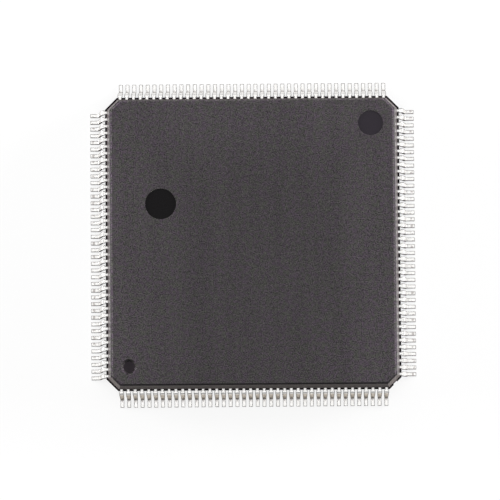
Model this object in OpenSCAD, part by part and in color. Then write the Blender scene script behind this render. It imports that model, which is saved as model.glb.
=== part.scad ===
// Quad flat pack with 160 gull-wing leads: a moulded body around a stamped leadframe,
// a silicon die on its pad, and one bond wire from the die to each lead.
// Millimetres, +Z up. The origin is the centre of the seating plane, under the feet.
// Pin 1 is beside the dimple, at the left end of the front (-Y) row, and the count
// runs counterclockwise as seen from above.

/* [Moulded body] */
// Width of the body from wall to wall, at the parting line
body_w = 27.9; // [27.8:0.05:32]
// Height of the moulding above the leadframe
upper_h = 1.65; // [1.2:0.05:2.2]
// Height of the moulding below the leadframe
lower_h = 1.6; // [1.2:0.05:2.2]
// Gap between the underside of the body and the seating plane
standoff = 0.35; // [0.2:0.05:0.6]
// Lean of the moulded walls away from upright, in degrees
draft = 10; // [5:1:14]
// Leg of the flat cut across each corner, at the parting line
corner_cut = 1.05; // [0.9:0.05:1.1]
// Radius of the rims round the top and the underside
rim_r = 0.2; // [0.1:0.02:0.3]
// How far the parting ledge stands out past the walls
ledge_w = 0.17; // [0.1:0.01:0.2]

/* [Marks left by the mould] */
// Diameter of the pin 1 dimple at the top face
dimple_d = 1.5; // [1:0.05:2]
// Depth of the pin 1 dimple
dimple_depth = 0.2; // [0.1:0.02:0.4]
// Width of the sloping wall of the dimple, seen from above
dimple_wall = 0.22; // [0.1:0.02:0.3]
// Distance from the dimple's centre to each of the two walls beside it
dimple_inset = 2.05; // [1.6:0.05:3]
// Depth of the round ejector pin marks
mark_depth = 0.05; // [0.02:0.01:0.1]
// Diameter of the ejector mark in the corner opposite the dimple
corner_mark_d = 2.4; // [1.5:0.1:3]
// Distance from that mark's centre to each of the two walls beside it
corner_mark_inset = 2.6; // [2.3:0.1:4]
// Diameter of the ejector mark near the left wall
side_mark_d = 2.95; // [1.5:0.05:3.5]
// Place of that mark from the middle of the top face
side_mark_at = [-8.8, 3.7]; // [-9.5:0.1:9.5]
// Diameter of the four ejector marks in the underside
under_mark_d = 2.4; // [1.5:0.1:3]
// Distance of each underside mark from the two centre lines
under_mark_at = 9.5; // [5:0.5:11]
// Width of the break in the ledge at the front right corner, where the runner snapped off
gate_w = 0.45; // [0.3:0.05:1]

/* [Leads outside the body] */
// Number of leads on each side
leads_per_side = 40; // [32:4:40]
// Distance from the wall beside a row to the middle of its outermost lead
row_end = 1.275; // [1.175:0.025:1.5]
// Thickness of the leadframe sheet
lead_t = 0.15; // [0.1:0.01:0.2]
// Reach of the leads, from the wall to the toes
lead_reach = 1.65; // [1.5:0.05:1.9]
// Width of a lead where it leaves the body
lead_w = 0.3; // [0.22:0.01:0.34]
// Width of a foot
foot_w = 0.36; // [0.24:0.01:0.38]
// Width of a lead over the stubs of the cut dam bar
stub_w = 0.46; // [0.4:0.01:0.5]
// Length of those stubs along the lead
stub_l = 0.24; // [0.1:0.02:0.3]
// Gap between the wall and the stubs
stub_gap = 0.22; // [0.2:0.01:0.3]
// Distance from the wall to the corner where the leg turns down
shoulder_l = 0.53; // [0.5:0.01:0.6]
// Lean of the leg away from upright, in degrees
leg_lean = 10; // [2:1:12]
// Inside radius of both bends
bend_r = 0.14; // [0.1:0.01:0.2]
// Sideways set of the feet along their row: front, right, back and left side
foot_skew = [0.02, 0.08, -0.04, 0.08]; // [-0.1:0.01:0.1]

/* [Leadframe inside the body] */
// Straight length of each lead from the wall inwards
root_l = 0.4; // [0.2:0.05:0.6]
// Distance from the centre to the inner tips of the leads
tip_ring = 5.9; // [5.6:0.1:6.4]
// Length of a row of inner tips, from the middle of the first to the middle of the last
tip_row = 9.75; // [8.8:0.05:10.4]
// Width of an inner tip
tip_w = 0.13; // [0.1:0.01:0.14]
// Straight length of an inner tip, where its wire is bonded
tip_l = 0.5; // [0.3:0.05:0.8]
// Width of the die pad
pad_w = 9; // [8.2:0.1:9.6]
// How far the pad is set down below the leads
pad_drop = 0.3; // [0.2:0.05:0.5]
// Width of the tie bars from the pad to the corners
tie_w = 0.4; // [0.3:0.05:0.5]
// Length of the slope that sets the pad down
tie_ramp = 0.35; // [0.2:0.05:0.6]
// How far the cut end of a tie bar stands out past the corner wall
tie_end = 0.08; // [0:0.01:0.1]

/* [Die and bond wires] */
// Width of the die
die_w = 7.8; // [7.6:0.1:8]
// Thickness of the die
die_t = 0.38; // [0.3:0.02:0.45]
// Thickness of the adhesive under the die
glue_t = 0.03; // [0.02:0.01:0.05]
// Distance from the die's edge to the row of bond pads
bond_inset = 0.1; // [0.06:0.01:0.15]
// Length of a row of bond pads on the die, from the first to the last
bond_row = 7.02; // [6.2:0.02:7.2]
// Thickness of a bond wire
wire_d = 0.03; // [0.02:0.005:0.04]
// Height of the wire's loop above the die
loop_h = 0.18; // [0.12:0.01:0.25]
// Width of the ball bond at the die end of a wire
ball_d = 0.07; // [0.05:0.01:0.09]
// Height of that ball
ball_h = 0.02; // [0.01:0.005:0.03]
// Length of the flat stitch at the lead end of a wire
stitch_l = 0.12; // [0.08:0.01:0.2]

/* [Hidden] */
$fn = 64;
// Leads in one node, and nodes on one side
group = 4;
groups = leads_per_side / group;

// Pitches along a row of leads, of inner tips and of bond pads: 0.65, 0.25 and 0.18
row_gaps = leads_per_side - 1;
pitch = (body_w - 2 * row_end) / row_gaps;
tip_pitch = tip_row / row_gaps;
bond_pitch = bond_row / row_gaps;

// Levels, from the seating plane up
sheet_z = standoff + lower_h;
sheet_top = sheet_z + lead_t;
body_top = sheet_top + upper_h;
pad_z = sheet_z - pad_drop;
glue_z = pad_z + lead_t;
die_z = glue_z + glue_t;
die_top = die_z + die_t;

// Distances from the centre out to the walls, the corner flats and the toes
wall = body_w / 2;
corner_flat = (2 * wall - corner_cut) / sqrt(2);
toe = wall + lead_reach;
// Where the outer faces of shoulder, leg and foot would meet in sharp corners
knee = wall + shoulder_l;
ankle = knee + (sheet_top - lead_t) * tan(leg_lean);
// Outer radius of both bends, and their centres in a side view: distance out and height.
// The knee turns about a point inside the sheet's bend, the ankle about one above it.
outer_r = bend_r + lead_t;
bend_reach = tan((90 - leg_lean) / 2);
knee_c = [knee - outer_r * bend_reach, sheet_top - outer_r];
ankle_c = [ankle + bend_r * bend_reach, lead_t + bend_r];

// Something longer than any cut needs to be
beyond = 4 * toe;

side_names = ["front", "right", "back", "left"];
lead_nodes = [for (s = [0:3], g = [0:groups - 1]) leads_name(s, g)];
wire_nodes = [for (s = [0:3]) str("bond_wires_", side_names[s])];

// Name of a group of leads, by the pin numbers in it
function leads_name(s, g) =
    let (first = s * leads_per_side + g * group + 1)
    str("leads_", first, "_to_", first + group - 1);

// Place of lead i along its row, counted from the middle, in pitches
function lead_place(i) = i - row_gaps / 2;

// Unit step in the direction of angle a
function along(a) = [cos(a), sin(a)];

// Side 0 is the front. The others are the same thing turned a quarter turn each.
module on_side(s) rotate([0, 0, 90 * s]) children();

// What a round takes off an outward corner: all between the corner and an arc of radius r
// about c, which runs from angle a1 to a2 and meets both sides squarely
module off_corner(c, r, a1, a2)
    difference() {
        polygon([
            c + r * along(a1),
            c + 2 * r * along((a1 + a2) / 2),
            c + r * along(a2)
        ]);
        translate(c) circle(r = r);
    }

// ---- Moulded body ----

// Section of one half of the moulding: leaning walls, w wide at the foot and h high,
// with a round of rim_r along both rims
module half_section(w, h) {
    rim_x = w / 2 - h * tan(draft);
    round_c = [rim_x - rim_r / tan((90 + draft) / 2), h - rim_r];
    difference() {
        polygon([[-w / 2, 0], [w / 2, 0], [rim_x, h], [-rim_x, h]]);
        for (side = [0, 1])
            mirror([side, 0]) off_corner(round_c, rim_r, draft, 90);
    }
}

// That section drawn out across the package, w wide and turned by a degrees
module leaning_walls(a, w, h)
    rotate([90, 0, a])
        linear_extrude(beyond, center = true)
            half_section(w, h);

// One half of the moulding: four walls and four corner flats, all with the same lean
module moulding(h)
    intersection() {
        leaning_walls(0, 2 * wall, h);
        leaning_walls(90, 2 * wall, h);
        leaning_walls(45, 2 * corner_flat, h);
        leaning_walls(-45, 2 * corner_flat, h);
    }

// Outline of the parting ledge, broken back to the tie bar's cut end where the gate was
module ledge_outline()
    difference() {
        intersection() {
            square(2 * (wall + ledge_w), center = true);
            rotate(45) square(2 * (corner_flat + ledge_w), center = true);
        }
        rotate(-45)
            translate([corner_flat + tie_end, -gate_w / 2])
                square([beyond, gate_w]);
    }

module pin_1_dimple()
    translate([dimple_inset - wall, dimple_inset - wall, body_top - dimple_depth])
        cylinder(h = dimple_depth, r1 = dimple_d / 2 - dimple_wall, r2 = dimple_d / 2);

module ejector_mark(d)
    cylinder(h = 2 * mark_depth, d = d, center = true);

module mould_marks() {
    corner_mark_at = wall - corner_mark_inset;
    pin_1_dimple();
    translate([corner_mark_at, corner_mark_at, body_top]) ejector_mark(corner_mark_d);
    translate([side_mark_at.x, side_mark_at.y, body_top]) ejector_mark(side_mark_d);
    for (x = [-1, 1], y = [-1, 1])
        translate([x * under_mark_at, y * under_mark_at, standoff])
            ejector_mark(under_mark_d);
}

// The resin fills every space round the leadframe, the die and the wires
module body()
    color("#4b484c")
        difference() {
            union() {
                translate([0, 0, sheet_top]) moulding(upper_h);
                translate([0, 0, sheet_z]) linear_extrude(lead_t) ledge_outline();
                translate([0, 0, sheet_z]) mirror([0, 0, 1]) moulding(lower_h);
            }
            mould_marks();
            translate([0, 0, sheet_z])
                linear_extrude(lead_t)
                    for (s = [0:3], i = [0:leads_per_side - 1])
                        on_side(s) lead_outline(s, i);
            pad_and_tie_bars();
            adhesive_layer();
            die_block();
            for (s = [0:3]) wire_row(s);
        }

// ---- Leads ----

// Outline of one lead in the flat sheet: inner tip, fan, straight root, dam bar stubs,
// leg with its sideways set, and foot
module lead_outline(s, i) {
    x = pitch * lead_place(i);
    tip_x = tip_pitch * lead_place(i);
    foot_x = x + foot_skew[s];
    stub = wall + stub_gap;
    half = [
        [tip_x, tip_w, tip_ring],
        [tip_x, tip_w, tip_ring + tip_l],
        [x, lead_w, wall - root_l],
        [x, lead_w, stub],
        [x, stub_w, stub],
        [x, stub_w, stub + stub_l],
        [foot_x, foot_w, ankle],
        [foot_x, foot_w, toe]
    ];
    last = len(half) - 1;
    polygon(concat(
        [for (p = half) [p[0] - p[1] / 2, -p[2]]],
        [for (k = [last:-1:0]) [half[k][0] + half[k][1] / 2, -half[k][2]]]
    ));
}

// All that lies under one face of the formed sheet, with both bends as true arcs:
// knee_r and ankle_r are that face's radii about the two centres
module under_face(knee_r, ankle_r) {
    high = knee_c.y + knee_r;
    low = ankle_c.y - ankle_r;
    leg_out = along(leg_lean);
    // where the flat of the shoulder and the face of the leg would meet
    corner = knee_c + knee_r * [bend_reach, 1];
    difference() {
        polygon([
            [tip_ring, -lead_t],
            [tip_ring, high],
            corner,
            ankle_c - ankle_r * leg_out,
            [ankle_c.x, low],
            [toe, low],
            [toe, -lead_t]
        ]);
        off_corner(knee_c, knee_r, leg_lean, 90);
        translate(ankle_c) circle(r = ankle_r);
    }
}

// Side view of the formed sheet, from the inner tips to the toes
module formed_section()
    difference() {
        under_face(outer_r, bend_r);
        under_face(bend_r, outer_r);
    }

// Four neighbouring leads: their outlines, cut through the formed section of the sheet
module leads(s, g)
    color("#d9d7d2")
        on_side(s)
            intersection() {
                linear_extrude(body_top)
                    for (i = [g * group:(g + 1) * group - 1])
                        lead_outline(s, i);
                rotate([90, 0, -90])
                    linear_extrude(beyond, center = true)
                        formed_section();
            }

// ---- Die pad, die and adhesive ----

// A tie bar along the diagonal, from the pad's corner up the ramp to the corner flat
module tie_section() {
    pad_corner = pad_w / sqrt(2);
    start = pad_corner - tie_w;
    foot = pad_corner + tie_w / 2;
    head = foot + tie_ramp;
    end = corner_flat + tie_end;
    polygon([
        [start, pad_z],
        [foot, pad_z],
        [head, sheet_z],
        [end, sheet_z],
        [end, sheet_top],
        [head, sheet_top],
        [foot, pad_z + lead_t],
        [start, pad_z + lead_t]
    ]);
}

module pad_and_tie_bars() {
    translate([0, 0, pad_z])
        linear_extrude(lead_t) square(pad_w, center = true);
    for (a = [45:90:315])
        rotate([90, 0, a])
            linear_extrude(tie_w, center = true) tie_section();
}

module die_pad() color("#b8763e") pad_and_tie_bars();

module adhesive_layer()
    translate([0, 0, glue_z])
        linear_extrude(glue_t) square(die_w, center = true);

module die_adhesive() color("#c9c9c9") adhesive_layer();

module die_block()
    translate([0, 0, die_z])
        linear_extrude(die_t) square(die_w, center = true);

module die() color("#5a6472") die_block();

// ---- Bond wires ----

// Corner k of a band of width w along the path p, on its left (+1) or right (-1) side
function band_corner(p, k, w, side) =
    let (
        a = k == 0 ? p[1] - p[0] : p[k] - p[k - 1],
        b = k == len(p) - 1 ? a : p[k + 1] - p[k],
        n1 = [-a.y, a.x] / norm(a),
        n2 = [-b.y, b.x] / norm(b)
    )
    p[k] + side * w / (1 + n1 * n2) * (n1 + n2) / 2;

module band(p, w) {
    last = len(p) - 1;
    polygon(concat(
        [for (k = [0:last]) band_corner(p, k, w, 1)],
        [for (k = [last:-1:0]) band_corner(p, k, w, -1)]
    ));
}

// One wire: ball on the die, up into the loop, down to the lead and along it
module bond_wire(i) {
    from = [bond_pitch * lead_place(i), bond_inset - die_w / 2];
    to = [tip_pitch * lead_place(i), -(tip_ring + tip_l / 2)];
    across = norm(to - from);
    landing = sheet_top - die_top + wire_d / 2;
    translate([from.x, from.y, die_top])
        rotate([0, 0, atan2(to.y - from.y, to.x - from.x)]) {
            cylinder(h = ball_h, d = ball_d, $fn = 8);
            rotate([90, 0, 0])
                linear_extrude(wire_d, center = true)
                    band([[0, 0], [0, loop_h], [across - stitch_l, landing], [across, landing]],
                         wire_d);
        }
}

module wire_row(s)
    on_side(s)
        for (i = [0:leads_per_side - 1]) bond_wire(i);

module bond_wires(s) color("#d4a63a") wire_row(s);

body();
die_pad();
die_adhesive();
die();
for (s = [0:3]) {
    for (g = [0:groups - 1])
        leads(s, g);
    bond_wires(s);
}
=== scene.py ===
"""Looks of the quad flat pack chip: finishes of every piece, the floor, the studio light and the camera.

Metres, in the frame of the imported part: +Z up, the feet on z = 0, pin 1 in the -X -Y corner.
The shaders count in millimetres, because place() gives them the position in millimetres.
"""
import math

import bpy
from mathutils import Matrix, Vector


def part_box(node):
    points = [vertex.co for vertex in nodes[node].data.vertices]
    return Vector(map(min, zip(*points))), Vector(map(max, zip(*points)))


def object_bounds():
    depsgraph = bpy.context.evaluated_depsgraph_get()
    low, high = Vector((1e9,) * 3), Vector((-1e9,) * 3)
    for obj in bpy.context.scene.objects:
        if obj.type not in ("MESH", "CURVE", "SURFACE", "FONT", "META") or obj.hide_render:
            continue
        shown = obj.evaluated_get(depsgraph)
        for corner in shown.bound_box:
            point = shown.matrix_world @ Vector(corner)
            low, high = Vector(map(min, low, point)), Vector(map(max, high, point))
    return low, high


MM = 0.001

# ---- Camera ----
VIEW_DISTANCE = 0.450       # from the lens to the middle of the chip
VIEW_TILT = 4.8             # degrees away from straight down, towards the front row
VIEW_ROLL = 0.45            # degrees the chip is turned counterclockwise in the picture
VIEW_WIDTH = 47.94 * MM     # what the picture spans at the level of the leads
CHIP_OFF_CENTRE = (0.285 * MM, 0.66 * MM)   # the chip sits this far right of and above the middle
SENSOR = 36.0               # millimetres, as Blender counts a sensor
NEAREST = 0.01              # nothing nearer to the lens is drawn

# ---- Light ----
# Each lamp: size, radiance, distance, turn from +X counterclockwise and rise above the floor in
# degrees, and whether gloss mirrors it. The large side lamps aren't mirrored, because in the legs
# they would drown the dark edges. Small bright ones in the same places are.
LAMPS = {
    "left": ((0.30, 0.10), 26.0, 0.42, 164.0, 8.0, False),
    "right": ((0.30, 0.10), 34.0, 0.42, 16.0, 8.0, False),
    "left_mirrored": ((0.12, 0.06), 36.0, 0.42, 164.0, 8.0, True),
    "right_mirrored": ((0.12, 0.06), 44.0, 0.42, 16.0, 8.0, True),
    "back_mirrored": ((0.80, 0.30), 0.75, 0.50, 90.0, 35.0, True),
}
# The top light is a square with an opening for the lens, which shows dark in smooth level faces
TOP_HALF = 0.35
TOP_HEIGHT = 0.60
TOP_RADIANCE = 1.3
OPENING_HALF = 0.075
OPENING_BACK = 0.05         # from above the chip's middle to the opening's, towards the back row
WORLD_LEVEL = 0.25
FLOOR_SIZE = 6.0
FLOOR_PAPER = (0.92, 0.92, 0.92, 1)
FLOOR_WHITE_SHARE = 0.82    # of what the camera and gloss see of the floor, the rest is lit paper

# ---- Marks on the moulding ----
LEVEL = 0.99                # a level face's normal points up at least this much
DEEPEST_MARK = 0.25 * MM    # no mark in the top face is deeper
SHALLOWEST_MARK = 0.02 * MM
SAME_MARK = 1 * MM          # corners nearer to each other belong to one mark
DIMPLE_DEPTH = 0.12 * MM    # a deeper mark is the pin 1 dimple, a shallower one an ejector mark
DIMPLE_WALL = 0.24 * MM     # width of its sloping wall
MARKS_ABOVE = 1.0 * MM      # all marks in the top face are higher than this above the leadframe
BORDER = 0.01 * MM          # half the width of a hard border between two tones
HAIR = 0.001 * MM           # slack for comparing heights

# ---- Leadframe ----
SHEET = 0.15 * MM           # thickness
FOOT = 0.74 * MM            # length of a foot, from where the leg meets it
LEADS_PER_NODE = 4
SIDES = 4

# ---- Resin: colours ----
RESIN_GREEN = (0.0314, 0.0318, 0.0276, 1)
RESIN_PURPLE = (0.0352, 0.0261, 0.0361, 1)
RESIN_SMOOTH = (0.008, 0.005, 0.007, 1)      # the ledge
RESIN_CORNER = (0.015, 0.011, 0.017, 1)      # the mark in the back right corner
RESIN_POLISHED = (0.0045, 0.004, 0.0045, 1)  # the mark near the left wall
RESIN_DIMPLE = (0.028, 0.022, 0.027, 1)      # the dimple's floor

# ---- Resin: painted light and shade, how much paler or darker it is ----
RESIN_PAINTED_EDGE_LIGHT = 1.36          # painted light: paler on the top near the left, right and back walls
EDGES_FROM = 4.0 * MM       # from the middle to where the top starts to turn paler
EDGES_TO = 14.5 * MM        # and to where it would be palest
RESIN_PAINTED_WALL_SHADE = 0.40          # painted shade on the front walls and the back wall
WALL_FACING = (0.8, 0.95)   # a wall's painted shade and roughness start and are whole where its normal reaches this
FRONT_FACING = (-0.45, -0.65)   # the same on Y, for the front wall and its cut corners
RESIN_PAINTED_RIM_HIGHLIGHT = 2.4          # painted highlight along the left, right and back corner rims
PAINTED_HIGHLIGHT_WIDTH = 0.14 * MM
RESIN_SHADED = 0.35         # painted shade along the front rims
SHADED_WIDTH = 0.20 * MM

# ---- Resin: grain ----
GRAIN = 0.11                # millimetres across
GRAIN_DEPTH = 0.85          # how much the brightness swings each way
LUMP = 0.34
LUMP_DEPTH = 0.20
TINT_PATCH = 0.30
STREAK = 1.6
STREAK_DEPTH = 0.07
STREAK_SHAPE = ((1.0, 0.12, 1.0), (0.0, 0.0, math.radians(20.0)))   # scale and turn
GRAIN_RELIEF = 0.012        # millimetres

# ---- Resin: gloss ----
RESIN_GLOSS = 0.26
RESIN_ROUGH = 0.48          # where the skin is smoothest
RESIN_ROUGH_SWING = 0.14
ROUGH_SIDE_WALLS = 0.25
ROUGH_DARK_WALLS = 0.90
ROUGH_SMOOTH = 0.12
CORNER_POLISH = 0.7         # of the way from grain to smooth, on the corner mark
BACK_WALL_LEAN = 0.4        # added to the upward part of the back wall's normal
RESIN_SHEEN = 0.32
RESIN_SHEEN_ROUGH = 0.3
RESIN_SHEEN_TINT = (1.0, 0.88, 0.82, 1)

# ---- Tin plate ----
TIN_BRIGHT = (0.96, 0.95, 0.94, 1)
TIN_DULL = (0.90, 0.89, 0.87, 1)
# Tans of the bent legs: on the front row they are painted shade, the other rows keep mostly tin
TIN_BENT = (0.62, 0.56, 0.48, 1)
TIN_BENT_DARK = (0.48, 0.42, 0.35, 1)
# Sheared edges: duller metal, darkened further as painted shade for the outlines
SHEARED = (0.045, 0.038, 0.036, 1)
# Dark of the probe marks, and of the painted reflection of the legs at the ankles
PROBE_MARK_AND_REFLECTION = (0.24, 0.20, 0.19, 1)
TIN_CLOUD = 0.5             # millimetres across
TIN_GRAIN = 0.05
TIN_ROUGH = 0.32            # level faces, where they are smoothest
TIN_ROUGH_SWING = 0.12
TIN_ROUGH_BENT = 0.42
TIN_ROUGH_SHEARED = 0.80
SHEARED_GLOSS = 0.1
BRIGHT_LEGS = 0.9           # how much of the level faces' tin the legs keep, the front row's apart, whose tan is painted shade
TIN_RELIEF = 0.003 * MM
LEAD_EDGE = 0.12 * MM       # how far the rounding of the sheared edges shows
EDGE_SAMPLES = 6
MARK_AND_REFLECTION_STRENGTH = 0.6             # how much of the probe marks' and the painted reflection's colour shows
PROBE_SPOT = 0.30           # millimetres across
PROBE_BAND = (0.45, 0.35, 0.20, 0.10)    # millimetres in from the toe: starts, full, ends, gone
REFLECTION_POINT = (0.20, 0.32)  # millimetres past the ankle: full up to, gone from
REFLECTION_SLOPE = 1.4           # how sharply its point narrows
REFLECTION_START = 0.1           # millimetres before the ankle

# ---- Inside the package ----
COPPER = (0.30, 0.20, 0.15, 1)
COPPER_DULL = (0.20, 0.13, 0.10, 1)
OXIDE = (0.030, 0.024, 0.026, 1)
OXIDE_REACH = 0.8 * MM      # how far in the tie bars' ends are black, counted as |x| + |y|
OXIDE_BORDER = 0.05         # millimetres over which it fades in
METAL_SWING = 0.12          # of the roughness
GOLD = (0.95, 0.70, 0.28, 1)
GOLD_DULL = (0.86, 0.58, 0.20, 1)
SILICON_BLUE = (0.16, 0.18, 0.24, 1)
SILICON_VIOLET = (0.24, 0.21, 0.26, 1)
SILICON_DARK = (0.12, 0.14, 0.17, 1)
BLOCKS_PER_MM = 1.4
EPOXY = (0.45, 0.45, 0.46, 1)
SILVER_FLAKES = (0.72, 0.72, 0.71, 1)


# ------------------------------------------------------------------ small helpers
def new_material(name):
    """An empty node material with a Principled shader joined to its output."""
    material = bpy.data.materials.new(name)
    material.use_nodes = True
    tree = material.node_tree
    tree.nodes.clear()
    output = tree.nodes.new("ShaderNodeOutputMaterial")
    shader = tree.nodes.new("ShaderNodeBsdfPrincipled")
    tree.links.new(shader.outputs["BSDF"], output.inputs["Surface"])
    return material, tree, shader


def put(tree, socket, value):
    """Sets an input socket, or links it where value is another node's output."""
    if isinstance(value, bpy.types.NodeSocket):
        tree.links.new(value, socket)
    else:
        socket.default_value = value


def math_node(tree, operation, a, b=0.0, c=0.0, clamp=False):
    node = tree.nodes.new("ShaderNodeMath")
    node.operation = operation
    node.use_clamp = clamp
    for socket, value in zip(node.inputs, (a, b, c)):
        put(tree, socket, value)
    return node.outputs[0]


def vector_math(tree, operation, a, b=(0.0, 0.0, 0.0)):
    node = tree.nodes.new("ShaderNodeVectorMath")
    node.operation = operation
    put(tree, node.inputs[0], a)
    put(tree, node.inputs[1], b)
    return node.outputs["Value"] if operation == "DOT_PRODUCT" else node.outputs[0]


def parts(tree, vector):
    """The X, Y and Z of a vector."""
    split = tree.nodes.new("ShaderNodeSeparateXYZ")
    tree.links.new(vector, split.inputs[0])
    return split.outputs


def true_normal(tree):
    return tree.nodes.new("ShaderNodeNewGeometry").outputs["True Normal"]


def ramp(tree, value, low, high, to_low=0.0, to_high=1.0):
    """value carried smoothly from the range low..high to to_low..to_high."""
    node = tree.nodes.new("ShaderNodeMapRange")
    node.interpolation_type = "SMOOTHSTEP"
    for socket, number in zip(node.inputs, (value, low, high, to_low, to_high)):
        put(tree, socket, number)
    return node.outputs[0]


def line(tree, distance, width):
    """1 where distance is about zero, falling smoothly to 0 at half the width on both sides."""
    return ramp(tree, math_node(tree, "ABSOLUTE", distance), width / 6, width / 2, 1.0, 0.0)


def scaled_where(tree, value, mask, factor):
    """value, and factor times value where mask is 1."""
    return math_node(tree, "MULTIPLY", value, math_node(tree, "MULTIPLY_ADD", mask, factor - 1.0, 1.0))


def mix_colour(tree, factor, a, b, mode="MIX"):
    node = tree.nodes.new("ShaderNodeMix")
    node.data_type = "RGBA"
    node.blend_type = mode
    put(tree, node.inputs["Factor"], factor)
    put(tree, node.inputs["A"], a)
    put(tree, node.inputs["B"], b)
    return node.outputs["Result"]


def mix_value(tree, factor, a, b):
    node = tree.nodes.new("ShaderNodeMix")
    put(tree, node.inputs["Factor"], factor)
    put(tree, node.inputs["A"], a)
    put(tree, node.inputs["B"], b)
    return node.outputs["Result"]


def place(tree):
    """Position on the object in millimetres, as a vector and as its three parts."""
    coordinates = tree.nodes.new("ShaderNodeTexCoord")
    scale = tree.nodes.new("ShaderNodeVectorMath")
    scale.operation = "SCALE"
    tree.links.new(coordinates.outputs["Object"], scale.inputs[0])
    scale.inputs["Scale"].default_value = 1 / MM
    return scale.outputs[0], parts(tree, scale.outputs[0])


def noise(tree, vector, grain, detail=2.0, roughness=0.5, stretch=None):
    """Noise whose lumps are about grain millimetres across."""
    if stretch:
        mapping = tree.nodes.new("ShaderNodeMapping")
        tree.links.new(vector, mapping.inputs["Vector"])
        mapping.inputs["Scale"].default_value = stretch[0]
        mapping.inputs["Rotation"].default_value = stretch[1]
        vector = mapping.outputs[0]
    node = tree.nodes.new("ShaderNodeTexNoise")
    tree.links.new(vector, node.inputs["Vector"])
    node.inputs["Scale"].default_value = 1 / grain
    node.inputs["Detail"].default_value = detail
    node.inputs["Roughness"].default_value = roughness
    return node.outputs[0]


def bump(tree, height, depth):
    """Surface relief: height from 0 to 1 stands for depth millimetres."""
    node = tree.nodes.new("ShaderNodeBump")
    node.inputs["Strength"].default_value = 1.0
    node.inputs["Distance"].default_value = depth * MM
    tree.links.new(height, node.inputs["Height"])
    return node.outputs["Normal"]


# ------------------------------------------------------------------ what the frame says
def top_marks(body):
    """Round marks sunk in the top face: the middle, radius and depth of each, in metres."""
    mesh = body.data
    top = max(v.co.z for v in mesh.vertices)
    floors = [p for p in mesh.polygons
              if p.normal.z > LEVEL and SHALLOWEST_MARK < top - p.center.z < DEEPEST_MARK]
    marks = []
    for face in floors:
        corners = [mesh.vertices[k].co for k in face.vertices]
        near = [m for m in marks
                if any((a - b).length < SAME_MARK for a in m for b in corners)]
        joined = corners + [c for m in near for c in m]
        marks = [m for m in marks if m not in near] + [joined]
    found = []
    for m in marks:
        low = Vector([min(c[k] for c in m) for k in range(3)])
        high = Vector([max(c[k] for c in m) for k in range(3)])
        found.append(((low + high) / 2, (high.x - low.x) / 2, top - low.z))
    return found


# ------------------------------------------------------------------ resin
def resin_grain(tree, vector, fine):
    """Brightness of the moulded skin, about 1: grain, lumps of filler and faint flow streaks."""
    lumps = noise(tree, vector, LUMP, detail=2.0, roughness=0.6)
    streaks = noise(tree, vector, STREAK, detail=2.0, stretch=STREAK_SHAPE)
    grain = math_node(tree, "ADD", ramp(tree, fine, 0.2, 0.8, -GRAIN_DEPTH, GRAIN_DEPTH),
                      ramp(tree, lumps, 0.25, 0.75, -LUMP_DEPTH, LUMP_DEPTH))
    return math_node(tree, "ADD", grain,
                     ramp(tree, streaks, 0.3, 0.7, 1 - STREAK_DEPTH, 1 + STREAK_DEPTH))


def past_rim(tree, outward, edge, across, towards, corner):
    """Millimetres past a rim of the level top, at edge, or past the cut corners at its ends, where
    across and towards add up to corner."""
    cut = math_node(tree, "SUBTRACT", math_node(tree, "ADD", across, towards), corner)
    return math_node(tree, "MAXIMUM", math_node(tree, "SUBTRACT", outward, edge),
                     math_node(tree, "DIVIDE", cut, math.sqrt(2)))


def rim_painted_light(tree, body, x, y, grain):
    """Painted highlight along the left, right and back corner rims, and painted shade along the front
    rims.
    """
    top = max(v.co.z for v in body.data.vertices)
    level = [v.co for v in body.data.vertices if v.co.z > top - HAIR]
    side = max(c.x for c in level) / MM
    front = max(-c.y for c in level) / MM
    corner = max(c.x + c.y for c in level) / MM
    across = math_node(tree, "ABSOLUTE", x)
    forward = math_node(tree, "MULTIPLY", y, -1.0)
    # Painted highlight along the left, right and back corner rims and their cut corners
    past = past_rim(tree, across, side, across, y, corner)
    grain = scaled_where(tree, grain, line(tree, past, PAINTED_HIGHLIGHT_WIDTH / MM), RESIN_PAINTED_RIM_HIGHLIGHT)
    # Painted shade along the front rims and the front cut corners
    past = past_rim(tree, forward, front, across, forward, corner)
    past = math_node(tree, "SUBTRACT", past, SHADED_WIDTH / MM / 2)
    return scaled_where(tree, grain, line(tree, past, SHADED_WIDTH / MM), RESIN_SHADED)


def within(tree, x, y, centre, radius):
    """1 inside a circle, from its centre in metres and its radius in millimetres."""
    dx = math_node(tree, "SUBTRACT", x, centre.x / MM)
    dy = math_node(tree, "SUBTRACT", y, centre.y / MM)
    squares = math_node(tree, "ADD", math_node(tree, "MULTIPLY", dx, dx),
                        math_node(tree, "MULTIPLY", dy, dy))
    border = BORDER / MM
    return ramp(tree, math_node(tree, "SQRT", squares), radius - border, radius + border, 1.0, 0.0)


def mark_finish(centre, depth):
    """Tone, width of the polished wall in millimetres, and polish of a mark in the top face."""
    if depth > DIMPLE_DEPTH:
        return RESIN_DIMPLE, DIMPLE_WALL / MM, 1.0
    if centre.x > 0:
        return RESIN_CORNER, BORDER / MM, CORNER_POLISH
    return RESIN_POLISHED, BORDER / MM, 1.0


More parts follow.
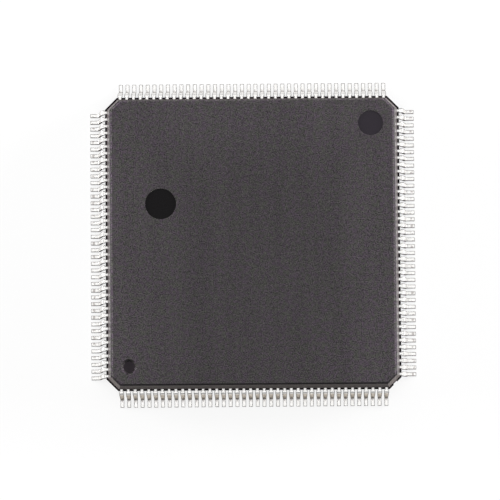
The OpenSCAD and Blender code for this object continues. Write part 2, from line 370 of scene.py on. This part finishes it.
def mould_compound(body, sheet_low, sheet_high):
    """Silica-filled epoxy: matt grain all over, smooth dark marks where pins and inserts stood."""
    material, tree, shader = new_material("mould_compound")
    vector, (x, y, z) = place(tree)
    fine = noise(tree, vector, GRAIN, detail=1.0, roughness=0.6)
    tints = noise(tree, vector, TINT_PATCH, detail=1.0)
    facing_x, facing_y, _ = parts(tree, true_normal(tree))

    # Matt skin, with painted light on the top towards the left, right and back walls, a painted
    # highlight and painted shade on the rims, and painted shade on the front and back walls
    grain = resin_grain(tree, vector, fine)
    reach = math_node(tree, "MAXIMUM", math_node(tree, "ABSOLUTE", x), y)
    # Painted light: the top turns paler towards the left, right and back walls
    grain = math_node(tree, "MULTIPLY", grain,
                      ramp(tree, reach, EDGES_FROM / MM, EDGES_TO / MM, 1.0, RESIN_PAINTED_EDGE_LIGHT))
    grain = rim_painted_light(tree, body, x, y, grain)
    # Painted shade: the front walls and the back wall are darkened by which way they face
    back_wall = ramp(tree, facing_y, *WALL_FACING)
    painted_shade_wall = math_node(tree, "MAXIMUM", ramp(tree, facing_y, *FRONT_FACING), back_wall)
    grain = scaled_where(tree, grain, painted_shade_wall, RESIN_PAINTED_WALL_SHADE)
    tint = mix_colour(tree, ramp(tree, tints, 0.25, 0.75), RESIN_GREEN, RESIN_PURPLE)
    colour = mix_colour(tree, 1.0, tint, grain, "MULTIPLY")

    # Smooth, darker skin on the parting ledge and in the marks
    low, high, border = sheet_low / MM, sheet_high / MM, BORDER / MM
    smooth = math_node(tree, "MULTIPLY", ramp(tree, z, low - border, low),
                       ramp(tree, z, high + border, high + 2 * border, 1.0, 0.0))
    colour = mix_colour(tree, smooth, colour, RESIN_SMOOTH)
    marks_from = (sheet_high + MARKS_ABOVE) / MM
    above = ramp(tree, z, marks_from, marks_from + 0.1)
    for centre, radius, depth in top_marks(body):
        tone, wall, polish = mark_finish(centre, depth)
        inside = math_node(tree, "MULTIPLY", above, within(tree, x, y, centre, radius / MM + wall))
        floor_only = math_node(tree, "MULTIPLY", above, within(tree, x, y, centre, radius / MM))
        colour = mix_colour(tree, floor_only, colour, tone)
        smooth = math_node(tree, "MAXIMUM", smooth, math_node(tree, "MULTIPLY", inside, polish))

    put(tree, shader.inputs["Base Color"], colour)
    shader.inputs["Specular IOR Level"].default_value = RESIN_GLOSS
    shader.inputs["Sheen Weight"].default_value = RESIN_SHEEN
    shader.inputs["Sheen Roughness"].default_value = RESIN_SHEEN_ROUGH
    shader.inputs["Sheen Tint"].default_value = RESIN_SHEEN_TINT

    # The left and right walls are smoother and mirror the necks of their leads
    side_wall = ramp(tree, math_node(tree, "ABSOLUTE", facing_x), *WALL_FACING)
    rough = math_node(tree, "MULTIPLY_ADD", fine, RESIN_ROUGH_SWING, RESIN_ROUGH)
    rough = mix_value(tree, side_wall, rough, ROUGH_SIDE_WALLS)
    rough = mix_value(tree, painted_shade_wall, rough, ROUGH_DARK_WALLS)
    put(tree, shader.inputs["Roughness"], mix_value(tree, smooth, rough, ROUGH_SMOOTH))

    # The back wall is seen almost edge on, so its normal leans up and it doesn't glare
    relief = math_node(tree, "MULTIPLY", fine, math_node(tree, "SUBTRACT", 1.0, smooth))
    lean = tree.nodes.new("ShaderNodeCombineXYZ")
    put(tree, lean.inputs["Z"], math_node(tree, "MULTIPLY", back_wall, BACK_WALL_LEAN))
    leaning = vector_math(tree, "ADD", bump(tree, relief, GRAIN_RELIEF), lean.outputs[0])
    put(tree, shader.inputs["Normal"], vector_math(tree, "NORMALIZE", leaning))
    return material


# ------------------------------------------------------------------ leads
def sheared_edges(tree, left_or_right):
    """How near a sheared edge is, up to 1 on it, and the normals rounded over it. The dark band is
    duller metal and painted shade, and broader on the front-facing side of the left and right rows,
    where it is a painted shadow."""
    edge = tree.nodes.new("ShaderNodeBevel")
    edge.samples = EDGE_SAMPLES
    edge.inputs["Radius"].default_value = LEAD_EDGE
    rounded = edge.outputs["Normal"]
    bend = vector_math(tree, "DOT_PRODUCT", rounded, true_normal(tree))
    near_edge = ramp(tree, bend, 0.95, 0.9995, 1.0, 0.0)
    painted_shadow_side = math_node(tree, "MULTIPLY", left_or_right,
                     ramp(tree, parts(tree, rounded)["Y"], -0.15, -0.01, 1.0, 0.0))
    return math_node(tree, "MAXIMUM", near_edge, painted_shadow_side), rounded


def probe_marks(tree, vector, out, toe, left_or_right):
    """Small dark touches of the test probes, a little in from the toes of the left and right rows."""
    starts, full, ends, gone = (toe / MM - inset for inset in PROBE_BAND)
    spots = noise(tree, vector, PROBE_SPOT, detail=1.0)
    band = math_node(tree, "MULTIPLY", ramp(tree, out, starts, full),
                     ramp(tree, out, ends, gone, 1.0, 0.0))
    probe = math_node(tree, "MULTIPLY", band, ramp(tree, spots, 0.50, 0.58))
    return math_node(tree, "MULTIPLY", probe, left_or_right)


def ankle_painted_reflection(tree, out, off_middle, ankle, front, front_or_back):
    """Painted reflection of the legs at the ankles, a dark point: whole on the front row, half on the
    back.
    """
    point = math_node(tree, "SUBTRACT", out, ankle / MM)
    point = math_node(tree, "MULTIPLY_ADD", off_middle, REFLECTION_SLOPE, point)
    rows = math_node(tree, "MULTIPLY", math_node(tree, "ADD", front, front_or_back), 0.5)
    reflection_mask = math_node(tree, "MULTIPLY", ramp(tree, point, *REFLECTION_POINT, 1.0, 0.0), rows)
    return math_node(tree, "MULTIPLY", reflection_mask, ramp(tree, out, ankle / MM - REFLECTION_START, ankle / MM))


def plated_lead(toe, ankle, pitch, leads_per_side):
    """Matt tin plate: bright rolled faces, duller legs with painted shade on the front row's, and dark
    sheared edges that are partly painted shade.
    """
    material, tree, shader = new_material("plated_lead")
    vector, (x, y, _) = place(tree)
    cloud = noise(tree, vector, TIN_CLOUD, detail=3.0)
    fine = noise(tree, vector, TIN_GRAIN, detail=2.0)
    flat = ramp(tree, math_node(tree, "ABSOLUTE", parts(tree, true_normal(tree))["Z"]), 0.20, 0.75)

    # Distances from the middle of the package and, in pitches, from the middle of the lead
    across, along = math_node(tree, "ABSOLUTE", x), math_node(tree, "ABSOLUTE", y)
    out = math_node(tree, "MAXIMUM", across, along)
    row = math_node(tree, "MINIMUM", across, along)
    place_in_row = math_node(tree, "MULTIPLY_ADD", row, MM / pitch, 0.5 * (leads_per_side % 2))
    off_middle = math_node(tree, "ABSOLUTE", math_node(
        tree, "SUBTRACT", math_node(tree, "FRACT", place_in_row), 0.5))
    front_or_back = math_node(tree, "GREATER_THAN", along, across)
    left_or_right = math_node(tree, "SUBTRACT", 1.0, front_or_back)
    front = math_node(tree, "MULTIPLY", front_or_back, math_node(tree, "LESS_THAN", y, 0.0))

    # Bright tin on the level faces, tan on the front row's legs as painted shade, and dark where it was
    # sheared, partly painted shade
    near_edge, rounded = sheared_edges(tree, left_or_right)
    tin = mix_colour(tree, ramp(tree, cloud, 0.35, 0.7), TIN_DULL, TIN_BRIGHT)
    # Duller bent plating, and on the front row's legs painted shade
    legs_dull_and_shaded = mix_colour(tree, ramp(tree, cloud, 0.4, 0.6), TIN_BENT_DARK, TIN_BENT)
    legs_dull_and_shaded = mix_colour(tree, math_node(tree, "MULTIPLY_ADD", front, -BRIGHT_LEGS, BRIGHT_LEGS), legs_dull_and_shaded, tin)
    colour = mix_colour(tree, flat, legs_dull_and_shaded, tin)
    # Dark sheared edges: duller metal with painted shade, and a painted shadow on the front-facing side
    # of the left and right rows
    colour = mix_colour(tree, near_edge, colour, SHEARED)
    # Dark probe marks, and the painted reflection of the legs at the front and back rows' ankles
    dark = math_node(tree, "MAXIMUM", probe_marks(tree, vector, out, toe, left_or_right),
                     ankle_painted_reflection(tree, out, off_middle, ankle, front, front_or_back))
    colour = mix_colour(tree, math_node(tree, "MULTIPLY", dark, MARK_AND_REFLECTION_STRENGTH), colour, PROBE_MARK_AND_REFLECTION)
    put(tree, shader.inputs["Base Color"], colour)

    put(tree, shader.inputs["Metallic"], math_node(tree, "SUBTRACT", 1.0, near_edge))
    shader.inputs["Specular IOR Level"].default_value = SHEARED_GLOSS
    rough = math_node(tree, "MULTIPLY_ADD", fine, TIN_ROUGH_SWING, TIN_ROUGH)
    rough = mix_value(tree, flat, TIN_ROUGH_BENT, rough)
    put(tree, shader.inputs["Roughness"], mix_value(tree, near_edge, rough, TIN_ROUGH_SHEARED))
    relief = tree.nodes.new("ShaderNodeBump")
    relief.inputs["Distance"].default_value = TIN_RELIEF
    tree.links.new(fine, relief.inputs["Height"])
    tree.links.new(rounded, relief.inputs["Normal"])
    put(tree, shader.inputs["Normal"], relief.outputs["Normal"])
    return material


# ------------------------------------------------------------------ inside the package
def metal(name, bright, dull, roughness, grain, relief, dark_beyond=None):
    """A plated or drawn metal: two tones, uneven gloss and a fine relief, black with oxide beyond
    that sum of the distances from both centre lines, in metres."""
    material, tree, shader = new_material(name)
    vector, (x, y, _) = place(tree)
    cloud = noise(tree, vector, grain, detail=3.0)
    fine = noise(tree, vector, grain / 5, detail=2.0)
    colour = mix_colour(tree, ramp(tree, cloud, 0.3, 0.7), dull, bright)
    if dark_beyond:
        starts = dark_beyond / MM
        out = math_node(tree, "ADD", math_node(tree, "ABSOLUTE", x), math_node(tree, "ABSOLUTE", y))
        colour = mix_colour(tree, ramp(tree, out, starts, starts + OXIDE_BORDER), colour, OXIDE)
    put(tree, shader.inputs["Base Color"], colour)
    shader.inputs["Metallic"].default_value = 1.0
    put(tree, shader.inputs["Roughness"],
        math_node(tree, "MULTIPLY_ADD", fine, METAL_SWING, roughness - METAL_SWING / 2))
    put(tree, shader.inputs["Normal"], bump(tree, fine, relief))
    return material


def silicon():
    """Polished silicon under its oxide: dark, glossy, with a faint blue-violet cast."""
    material, tree, shader = new_material("silicon")
    vector, _ = place(tree)
    blocks = tree.nodes.new("ShaderNodeTexVoronoi")
    blocks.distance = "CHEBYCHEV"
    tree.links.new(vector, blocks.inputs["Vector"])
    blocks.inputs["Scale"].default_value = BLOCKS_PER_MM
    cast = mix_colour(tree, 0.5, SILICON_BLUE, SILICON_VIOLET)
    put(tree, shader.inputs["Base Color"],
        mix_colour(tree, blocks.outputs["Distance"], cast, SILICON_DARK))
    shader.inputs["Metallic"].default_value = 0.8
    shader.inputs["Roughness"].default_value = 0.18
    return material


def silver_epoxy():
    """Die adhesive: grey paste full of silver flakes."""
    material, tree, shader = new_material("silver_epoxy")
    vector, _ = place(tree)
    flakes = noise(tree, vector, 0.04, detail=2.0)
    put(tree, shader.inputs["Base Color"], mix_colour(tree, flakes, EPOXY, SILVER_FLAKES))
    shader.inputs["Metallic"].default_value = 0.3
    shader.inputs["Roughness"].default_value = 0.5
    put(tree, shader.inputs["Normal"], bump(tree, flakes, 0.004))
    return material


# ------------------------------------------------------------------ studio
def floor(size):
    """A pale sheet that shows white to the camera and in gloss, and keeps the chip's shadow."""
    bpy.ops.mesh.primitive_plane_add(size=size, location=(0, 0, 0))
    sheet = bpy.context.object
    sheet.name = "floor"
    material = bpy.data.materials.new("floor_white")
    material.use_nodes = True
    tree = material.node_tree
    tree.nodes.clear()
    output = tree.nodes.new("ShaderNodeOutputMaterial")
    paper = tree.nodes.new("ShaderNodeBsdfDiffuse")
    paper.inputs["Color"].default_value = FLOOR_PAPER
    white = tree.nodes.new("ShaderNodeEmission")
    white.inputs["Strength"].default_value = 1.0
    seen = tree.nodes.new("ShaderNodeLightPath")
    shows = math_node(tree, "ADD", seen.outputs["Is Camera Ray"], seen.outputs["Is Glossy Ray"])
    shows = math_node(tree, "ADD", shows, seen.outputs["Is Transmission Ray"], clamp=True)
    blend = tree.nodes.new("ShaderNodeMixShader")
    put(tree, blend.inputs[0], math_node(tree, "MULTIPLY", shows, FLOOR_WHITE_SHARE))
    tree.links.new(paper.outputs[0], blend.inputs[1])
    tree.links.new(white.outputs[0], blend.inputs[2])
    tree.links.new(blend.outputs[0], output.inputs["Surface"])
    sheet.data.materials.append(material)


def lamp(name, position, aim, size, radiance):
    """A soft box: a rectangular lamp of that radiance, facing its aim."""
    data = bpy.data.lights.new(name, "AREA")
    data.shape = "RECTANGLE"
    data.size, data.size_y = size
    data.energy = radiance * math.pi * size[0] * size[1]
    lamp_object = bpy.data.objects.new(name, data)
    bpy.context.scene.collection.objects.link(lamp_object)
    lamp_object.location = position
    lamp_object.rotation_euler = (Vector(aim) - Vector(position)).to_track_quat("-Z", "Y").to_euler()
    return lamp_object


def world_light():
    world = bpy.data.worlds.new("studio")
    world.use_nodes = True
    background = world.node_tree.nodes["Background"]
    background.inputs["Color"].default_value = (1.0, 1.0, 1.0, 1)
    background.inputs["Strength"].default_value = WORLD_LEVEL
    bpy.context.scene.world = world


def top_light():
    """Four panels around the opening for the lens, facing straight down."""
    low, high = OPENING_BACK - OPENING_HALF, OPENING_BACK + OPENING_HALF
    panels = {
        "top_left": (-TOP_HALF, -OPENING_HALF, -TOP_HALF, TOP_HALF),
        "top_right": (OPENING_HALF, TOP_HALF, -TOP_HALF, TOP_HALF),
        "top_front": (-OPENING_HALF, OPENING_HALF, -TOP_HALF, low),
        "top_back": (-OPENING_HALF, OPENING_HALF, high, TOP_HALF),
    }
    for name, (left, right, front, back) in panels.items():
        position = Vector(((left + right) / 2, (front + back) / 2, TOP_HEIGHT))
        lamp("lamp_" + name, position, position - Vector((0, 0, 1)),
             (right - left, back - front), TOP_RADIANCE)


def studio(middle):
    world_light()
    for name, (size, radiance, distance, turn, rise, mirrored) in LAMPS.items():
        turn, rise = math.radians(turn), math.radians(rise)
        away = Vector((math.cos(rise) * math.cos(turn), math.cos(rise) * math.sin(turn), math.sin(rise)))
        soft_box = lamp("lamp_" + name, middle + distance * away, middle, size, radiance)
        soft_box.visible_glossy = mirrored
    top_light()


def camera(middle):
    """Looks down on the chip from a little towards the front row."""
    data = bpy.data.cameras.new("camera")
    data.sensor_width = SENSOR
    data.lens = SENSOR * VIEW_DISTANCE / VIEW_WIDTH
    data.clip_start = NEAREST
    camera_object = bpy.data.objects.new("camera", data)
    bpy.context.scene.collection.objects.link(camera_object)
    tilt = math.radians(VIEW_TILT)
    aim = middle - Vector((*CHIP_OFF_CENTRE, 0))
    turn = Matrix.Rotation(math.radians(-VIEW_ROLL), 4, "Z") @ Matrix.Rotation(tilt, 4, "X")
    camera_object.matrix_world = Matrix.Translation(aim) @ turn @ Matrix.Translation(
        (0, 0, VIEW_DISTANCE))
    bpy.context.scene.camera = camera_object


# ------------------------------------------------------------------ the scene
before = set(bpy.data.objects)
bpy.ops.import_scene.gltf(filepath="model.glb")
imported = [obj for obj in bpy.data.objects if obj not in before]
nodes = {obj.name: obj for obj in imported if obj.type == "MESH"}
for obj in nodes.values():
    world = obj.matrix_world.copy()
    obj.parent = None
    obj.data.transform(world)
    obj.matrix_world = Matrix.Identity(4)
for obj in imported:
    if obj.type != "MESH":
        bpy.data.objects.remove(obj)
cad_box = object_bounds()

# The level of the leadframe and the pitch, from the first two nodes of leads in the front row
first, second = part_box("leads_1_to_4"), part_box("leads_5_to_8")
sheet_high = first[1].z
sheet_low = sheet_high - SHEET
pitch = (second[0].x - first[0].x) / LEADS_PER_NODE
leads_per_side = LEADS_PER_NODE * sum(name.startswith("leads_") for name in nodes) // SIDES
toe = cad_box[1].x
ankle = toe - FOOT
tie_bars_black = 2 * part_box("die_pad")[1].x - OXIDE_REACH

finishes = {
    "body": mould_compound(nodes["body"], sheet_low, sheet_high),
    "die_pad": metal("copper_alloy", COPPER, COPPER_DULL, roughness=0.40, grain=0.6, relief=0.003,
                     dark_beyond=tie_bars_black),
    "die_adhesive": silver_epoxy(),
    "die": silicon(),
    "leads": plated_lead(toe, ankle, pitch, leads_per_side),
    "bond_wires": metal("gold_wire", GOLD, GOLD_DULL, roughness=0.22, grain=0.1, relief=0.0005),
}
for name, piece in nodes.items():
    finish = next(m for key, m in finishes.items() if name == key or name.startswith(key + "_"))
    piece.data.materials.clear()
    piece.data.materials.append(finish)

middle = Vector((0, 0, sheet_high))
camera(middle)
studio(middle)
floor(FLOOR_SIZE)
bpy.context.scene.view_settings.view_transform = "Standard"
